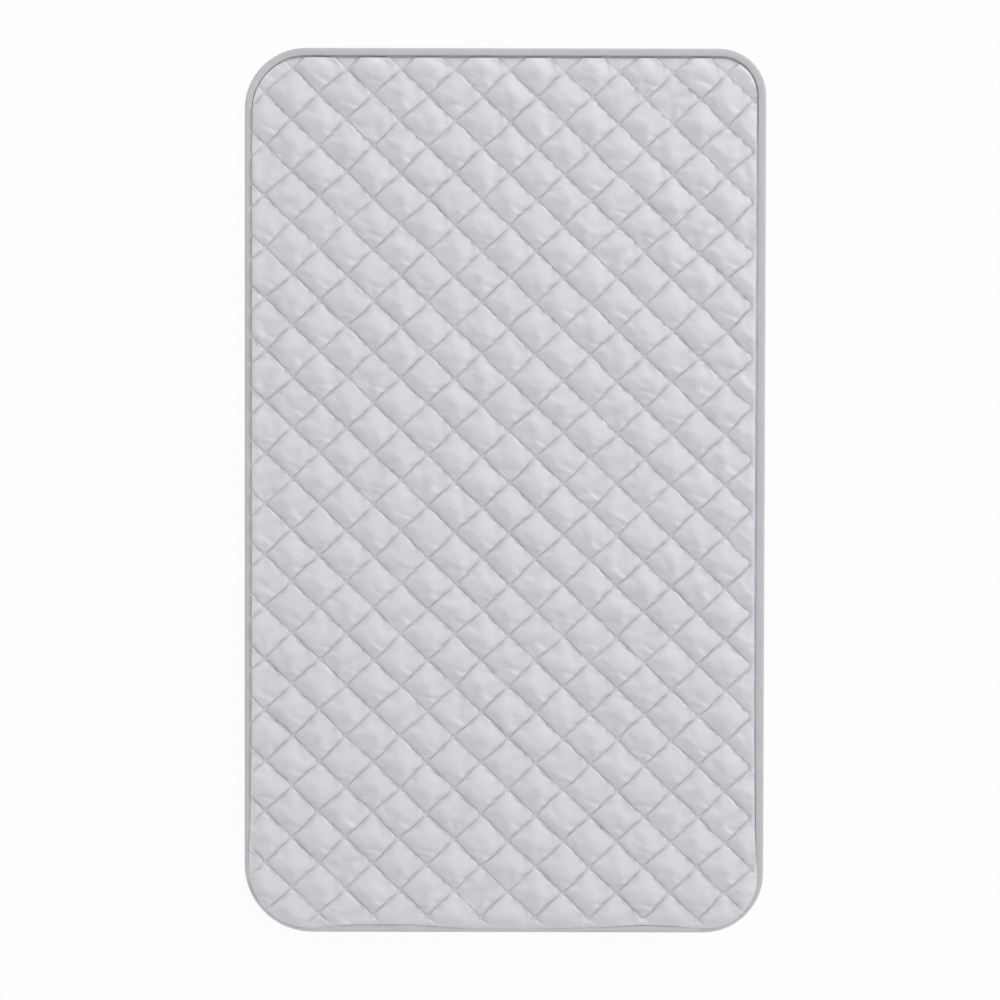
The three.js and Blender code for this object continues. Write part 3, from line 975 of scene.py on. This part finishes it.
def woven_finish(name, pitch, weave_depth, creases, crease_depth, thread_share, dark, light, roughness):
    """A finish that reads the map called weave. The gloss of patches is told by a pair of roughnesses."""
    material, tree, shader = new_material(name)
    place = add_node(tree, "ShaderNodeUVMap", uv_map="weave").outputs[0]
    weave = use_group(tree, WOVEN, Place=place, Pitch=pitch)
    worn = use_group(tree, CREASES, Place=place, Creases_per_metre=creases)
    patches = worn.outputs["Patches"]
    normal = bump(tree, worn.outputs["Height"], crease_depth)
    normal = bump(tree, weave.outputs["Height"], weave_depth, normal)
    tree.links.new(normal, shader.inputs["Normal"])
    by_patch = calc(tree, "MULTIPLY", patches, 1 - thread_share)
    amount = calc(tree, "MULTIPLY_ADD", weave.outputs["Tone"], thread_share, by_patch)
    colour(tree, shader, amount, dark, light)
    shader.inputs["Roughness"].default_value = roughness[0]
    if len(roughness) > 1:
        gloss = calc(tree, "MULTIPLY_ADD", patches, roughness[1] - roughness[0], roughness[0])
        tree.links.new(gloss, shader.inputs["Roughness"])
    return material


SILVER_CLOTH = woven_finish(
    "silver_cloth", pitch=0.42 * MM, weave_depth=0.04 * MM, creases=120.0, crease_depth=0.3 * MM,
    thread_share=0.3, dark=(0.62, 0.615, 0.655), light=(0.70, 0.695, 0.735), roughness=(0.48, 0.68),
)
SILVER_CLOTH.node_tree.nodes["Principled BSDF"].inputs["Metallic"].default_value = 0.15
BINDING_TAPE = woven_finish(
    "binding_tape", pitch=0.6 * MM, weave_depth=0.12 * MM, creases=90.0, crease_depth=0.4 * MM,
    thread_share=0.5, dark=(0.50, 0.50, 0.525), light=(0.595, 0.595, 0.615), roughness=(0.8,),
)
BACKING_COTTON = woven_finish(
    "backing_cotton", pitch=0.8 * MM, weave_depth=0.2 * MM, creases=60.0, crease_depth=0.8 * MM,
    thread_share=0.6, dark=(0.52, 0.51, 0.50), light=(0.63, 0.62, 0.60), roughness=(0.95,),
)
print("finishes", SILVER_CLOTH.name, BINDING_TAPE.name, BACKING_COTTON.name)

# %% [markdown]
# The wadding is a mass of fibres with no weave at all, so fine creases stand for them. The thread is
# twisted, which shows as slanting lines along each stitch, worked out from two attributes that every stitch
# carries: a bump, and a colour that is darker in the grooves of the twist and lighter on its ridges, which
# is painted shade and painted highlight. The tape's map is its flat strip: the way along the edge and the
# way across the folded section.

# %% Fibres, thread and the tape's map
FIBRES = 900.0
FIBRE_DEPTH = 0.6 * MM
TURNS = 5.0
TWIST_DEPTH = 0.06 * MM


def loose_fibre():
    material, tree, shader = new_material("wadding")
    place = add_node(tree, "ShaderNodeTexCoord").outputs["Object"]
    creases = use_group(tree, CREASES, Place=place, Creases_per_metre=FIBRES)
    tree.links.new(bump(tree, creases.outputs["Height"], FIBRE_DEPTH), shader.inputs["Normal"])
    colour(tree, shader, creases.outputs["Patches"], (0.82, 0.81, 0.77), (0.90, 0.89, 0.86))
    shader.inputs["Roughness"].default_value = 1.0
    return material


def sewing_thread():
    material, tree, shader = new_material("sewing_thread")
    along = add_node(tree, "ShaderNodeAttribute", attribute_name="along").outputs["Fac"]
    around = add_node(tree, "ShaderNodeAttribute", attribute_name="around").outputs["Fac"]
    turn = calc(tree, "ADD", calc(tree, "MULTIPLY", along, TURNS), around)
    twist_relief_and_shade = calc(tree, "SINE", calc(tree, "MULTIPLY", turn, 2 * math.pi))
    amount = calc(tree, "MULTIPLY_ADD", twist_relief_and_shade, 0.5, 0.5)
    # The colour follows the twist: darker in its grooves and lighter on its ridges, painted shade and painted
    # highlight.
    colour(tree, shader, amount, (0.53, 0.525, 0.555), (0.65, 0.645, 0.675))
    tree.links.new(bump(tree, amount, TWIST_DEPTH), shader.inputs["Normal"])
    shader.inputs["Roughness"].default_value = 0.6
    return material


WADDING = loose_fibre()
SEWING_THREAD = sewing_thread()
reach = np.linalg.norm(np.diff(section, axis=1), axis=2)
across_tape = np.concatenate([np.zeros((TAPE_STEPS, 1)), np.cumsum(reach, axis=1)], axis=1)
across_tape = np.concatenate([across_tape, across_tape[:, ::-1]], axis=1)
along_tape = np.stack([step, step + 1, step + 1, step], axis=-1) * EDGE_LENGTH / TAPE_STEPS
across_tape = across_tape.ravel()[tape_faces.reshape(TAPE_STEPS, size, 4)]
tape_map = tape.data.uv_layers.new(name="weave")
tape_map.data.foreach_set("uv", np.stack([along_tape, across_tape], axis=-1).astype(np.float32).ravel())
face_cloth.data.materials.append(SILVER_CLOTH)
backing.data.materials.append(BACKING_COTTON)
wadding.data.materials.append(WADDING)
tape.data.materials.append(BINDING_TAPE)
print("tape width before folding", across_tape.max(axis=(1, 2)).mean())

# %% [markdown]
# All the sewing is lock stitch: on each side a thread lies on the cloth for a few millimetres and dips into
# the needle hole. One Geometry Nodes tree sews any line. It splits the line into steps of one stitch, puts
# a short bent thread on each step, turns it along the step and scales it to fit, then makes real faces.

# %% A tree that sews along lines
NEEDLE_PITCH = 3.2 * MM
SHARE_SHOWN = 0.9
THREAD_RADIUS = 0.17 * MM
STITCH_DIP = 0.3 * MM
THREAD_SIDES = 5
THREAD_STEPS = 4


def sewing_tree():
    tree, given, result = group_tree(
        "sew_along_lines",
        "GeometryNodeTree",
        [("Lines", "NodeSocketGeometry", None), ("Dip", "NodeSocketFloat", STITCH_DIP)],
        [("Stitches", "NodeSocketGeometry")],
    )

    def put(kind, *inputs, **settings):
        """A geometry node whose inputs may be other nodes, which stand for their first output."""
        pairs = [(at, v.outputs[0] if isinstance(v, bpy.types.Node) else v) for at, v in inputs]
        return add_node(tree, "GeometryNode" + kind, pairs, **settings)

    curve = put("MeshToCurve", ("Mesh", given))
    steps = put("ResampleCurve", ("Curve", curve), ("Length", NEEDLE_PITCH), mode="LENGTH")
    wire = put("CurveToMesh", ("Curve", steps))
    ends = put("InputMeshEdgeVertices")
    pairs = [(0, ends.outputs["Position 2"]), (1, ends.outputs["Position 1"])]
    way = add_node(tree, "ShaderNodeVectorMath", pairs, operation="SUBTRACT")
    kept = put("CaptureAttribute", ("Geometry", wire), domain="EDGE")
    kept.capture_items.new("VECTOR", "Way")
    tree.links.new(way.outputs[0], kept.inputs["Way"])
    middles = put("MeshToPoints", ("Mesh", kept), mode="EDGES")

    line = put("CurvePrimitiveLine", ("Start", (-0.5, 0, 0)), ("End", (0.5, 0, 0)))
    bent = put("ResampleCurve", ("Curve", line), ("Count", THREAD_STEPS))
    share = put("SplineParameter").outputs["Factor"]
    along = put("StoreNamedAttribute", ("Geometry", bent), ("Name", "along"), ("Value", share))
    place = add_node(tree, "ShaderNodeSeparateXYZ", [(0, put("InputPosition").outputs[0])])
    fall = calc(tree, "MULTIPLY", calc(tree, "MULTIPLY", place.outputs[0], place.outputs[0]), -4.0)
    dip = calc(tree, "MULTIPLY", fall, given.outputs["Dip"])
    drop = add_node(tree, "ShaderNodeCombineXYZ", [(2, dip)])
    dipped = put("SetPosition", ("Geometry", along), ("Offset", drop))
    ring = put("CurvePrimitiveCircle", ("Resolution", THREAD_SIDES), ("Radius", THREAD_RADIUS))
    around = put("StoreNamedAttribute", ("Geometry", ring), ("Name", "around"), ("Value", share))
    stitch = put("CurveToMesh", ("Curve", dipped), ("Profile Curve", around), ("Fill Caps", True))
    length = add_node(tree, "ShaderNodeVectorMath", [(0, kept.outputs["Way"])], operation="LENGTH")
    stretch = calc(tree, "MULTIPLY", length.outputs["Value"], SHARE_SHOWN)
    scale = add_node(tree, "ShaderNodeCombineXYZ", [(0, stretch), (1, 1.0), (2, 1.0)])
    turn = add_node(tree, "FunctionNodeAlignRotationToVector", [("Vector", kept.outputs["Way"])], axis="X")
    sewn = put(
        "InstanceOnPoints", ("Points", middles), ("Instance", stitch), ("Rotation", turn), ("Scale", scale)
    )
    real = put("RealizeInstances", ("Geometry", sewn))
    finished = put("SetMaterial", ("Geometry", real), ("Material", SEWING_THREAD))
    tree.links.new(finished.outputs[0], result.inputs["Stitches"])
    return tree


SEWING = sewing_tree()
print("tree", SEWING.name, len(SEWING.nodes), "nodes")

# %% [markdown]
# The seams are known exactly, because their vertices were held. Each stretch between two crossings becomes
# a line of its own, so that a stitch ends in every crossing. On the back the same lines lie under the
# backing, and there the stitches dip upwards. The tape has one row of stitches in its ditch and one on its
# lower lip.

# %% Sew the seams and the tape
STITCH_LIFT = 0.05 * MM
SAME_COUNT = 1e-6


def sew(name, lines, closed, dip):
    """Stitches along lines, each an array of points."""
    points = np.vstack(lines)
    edges = []
    first = 0
    for line in lines:
        steps = first + np.arange(len(line))
        edges += np.column_stack([steps[:-1], steps[1:]]).tolist()
        if closed:
            edges.append([int(steps[-1]), int(steps[0])])
        first += len(line)
    path = mesh_object(name + "_lines", points, [], edges)
    modifier = path.modifiers.new("sewing", "NODES")
    modifier.node_group = SEWING
    modifier[SEWING.interface.items_tree["Dip"].identifier] = dip
    ready = path.evaluated_get(bpy.context.evaluated_depsgraph_get())
    sewn = in_scene(name, bpy.data.meshes.new_from_object(ready))
    sewn.data.name = name
    path.modifiers.remove(modifier)
    remove(path)
    smooth(sewn)
    print(name, len(sewn.data.polygons), "faces")
    return sewn


def seam_lines(heights):
    """Lines between crossings at the cloth's points, left and right of the middle crossing."""
    sides = ([], [])
    for fixed, running in ((0, 1), (1, 0)):
        whole = np.round(cloth[:, fixed])
        on_seam = np.abs(cloth[:, fixed] - whole) < SAME_COUNT
        for seam in np.unique(whole[on_seam]):
            mine = np.flatnonzero(on_seam & (whole == seam))
            mine = mine[np.argsort(cloth[mine, running])]
            along = cloth[mine, running]
            for start_count in range(math.floor(along[0]), math.ceil(along[-1])):
                between = (along > start_count - SAME_COUNT) & (along < start_count + 1 + SAME_COUNT)
                part = mine[between & sewn_down[mine]]
                if len(part) < 2:
                    continue
                line = np.column_stack([cloth[part, 2:], heights[part]])
                sides[int(line[:, 0].mean() > CROSSING_X)].append(line)
    return sides


face_lines = seam_lines(face_points[:, 2] + STITCH_LIFT)
back_lines = seam_lines(backing_height(*cloth.T) - STITCH_LIFT)
stitches_left = sew("quilting_stitches_left", face_lines[0], False, STITCH_DIP)
stitches_right = sew("quilting_stitches_right", face_lines[1], False, STITCH_DIP)
back_stitches_left = sew("quilting_stitches_back_left", back_lines[0], False, -STITCH_DIP)
back_stitches_right = sew("quilting_stitches_back_right", back_lines[1], False, -STITCH_DIP)

ditch_line = tape_points[:, DITCH_KNOT * SECTION_STEPS - 1] + [0, 0, STITCH_LIFT]
lip_line = tape_points[:, LIP_KNOT * SECTION_STEPS] - [0, 0, STITCH_LIFT]
tape_stitches = sew("binding_stitches_face", [ditch_line], True, STITCH_DIP)
lip_stitches = sew("binding_stitches_back", [lip_line], True, -STITCH_DIP)

# %% [markdown]
# Each piece now hangs from the body that carries it, and the imported nodes that it stands for are hidden.
# The list also names the finish of the record for each piece. Quilting takes up cloth, so the face
# was cut a few per cent larger than the pad.

# %% Put the pieces in place of the imported nodes
threads = sorted(name for name in frame["nodes"] if name.startswith("quilting_thread"))
half = len(threads) // 2
stands_for = [
    (face_cloth, "silver_cloth", ["face_cloth"]),
    (wadding, "wadding", ["batting"]),
    (backing, "backing_cotton", ["backing_cloth"]),
    (tape, "binding_tape", ["edge_binding"]),
    (stitches_left, "sewing_thread", threads[:half]),
    (stitches_right, "sewing_thread", threads[half:]),
    (back_stitches_left, "sewing_thread", []),
    (back_stitches_right, "sewing_thread", []),
    (tape_stitches, "sewing_thread", ["binding_thread_face"]),
    (lip_stitches, "sewing_thread", ["binding_thread_back"]),
]
for piece, slot, nodes in stands_for:
    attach(piece, "root")
    if nodes:
        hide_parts(*nodes)
print("pieces", len(stands_for))

# %% [markdown]
# The pad was photographed from straight above on white, with soft light from the upper right. The floor is
# white to the camera and to reflections, and keeps a faint shadow. A broad lamp stands low at the upper
# right, and the world fills the rest, so that the slopes that face the lower left are only a little darker.

# %% Floor, light and camera
FLOOR_HALF = 6.0
FLOOR_DROP = 0.3 * MM
FLOOR_GLOW = 0.93
ROOM_LIGHT = 0.829


def white_floor():
    material, tree, shader = new_material("white_floor")
    tree.nodes.remove(shader)
    seen = add_node(tree, "ShaderNodeLightPath")
    direct = calc(tree, "MAXIMUM", seen.outputs["Is Camera Ray"], seen.outputs["Is Glossy Ray"])
    direct = calc(tree, "MAXIMUM", direct, seen.outputs["Is Transmission Ray"])
    plain = add_node(tree, "ShaderNodeBsdfDiffuse", [("Color", (0.8, 0.8, 0.8, 1))])
    glow = add_node(tree, "ShaderNodeEmission", [("Color", (1, 1, 1, 1)), ("Strength", 1.0)])
    share = calc(tree, "MULTIPLY", direct, FLOOR_GLOW)
    both = add_node(tree, "ShaderNodeMixShader", [(0, share), (1, plain.outputs[0]), (2, glow.outputs[0])])
    tree.links.new(both.outputs[0], tree.nodes["Material Output"].inputs["Surface"])
    return material


corners = [(x * FLOOR_HALF, y * FLOOR_HALF, -FLOOR_DROP) for x, y in CORNERS]
floor = mesh_object("floor", corners, [[0, 1, 2, 3]])
floor.data.materials.append(white_floor())

world = bpy.data.worlds.new("soft_room")
bpy.context.scene.world = world
world.use_nodes = True
sky = world.node_tree
seen = add_node(sky, "ShaderNodeLightPath")
strength = add_node(sky, "ShaderNodeMix", [(0, seen.outputs["Is Camera Ray"]), (2, ROOM_LIGHT), (3, 1.0)])
sky.nodes["Background"].inputs["Color"].default_value = (1, 1, 1, 1)
sky.links.new(strength.outputs[0], sky.nodes["Background"].inputs["Strength"])

LAMP_PLACE = Vector((3.44, 3.20, 1.72))
LAMP_POWER = 138
lamp_data = bpy.data.lights.new("broad_lamp", "AREA")
lamp_data.shape = "RECTANGLE"
lamp_data.size = 3.6
lamp_data.size_y = 2.4
lamp_data.energy = LAMP_POWER
lamp = in_scene("broad_lamp", lamp_data)
lamp.location = LAMP_PLACE
lamp.rotation_euler = (-LAMP_PLACE).to_track_quat("-Z", "Y").to_euler()

SENSOR = 36
CAMERA_AWAY = 3.0
CAMERA_TILT = math.radians(1.4)
CAMERA_ROLL = math.radians(0.12)
VIEW_WIDTH = 0.9627
VIEW_MIDDLE = (-4.7 * MM, -8.1 * MM)
camera_data = bpy.data.cameras.new("camera")
camera_data.sensor_width = SENSOR
camera_data.lens = SENSOR * CAMERA_AWAY / VIEW_WIDTH
camera = in_scene("camera", camera_data)
camera.location = (
    VIEW_MIDDLE[0],
    VIEW_MIDDLE[1] + CAMERA_AWAY * math.sin(CAMERA_TILT),
    CAMERA_AWAY * math.cos(CAMERA_TILT),
)
camera.rotation_euler = (-CAMERA_TILT, 0, CAMERA_ROLL)
bpy.context.scene.camera = camera
bpy.context.scene.view_settings.view_transform = "Standard"
print("camera", tuple(camera.location), "lens", camera_data.lens)
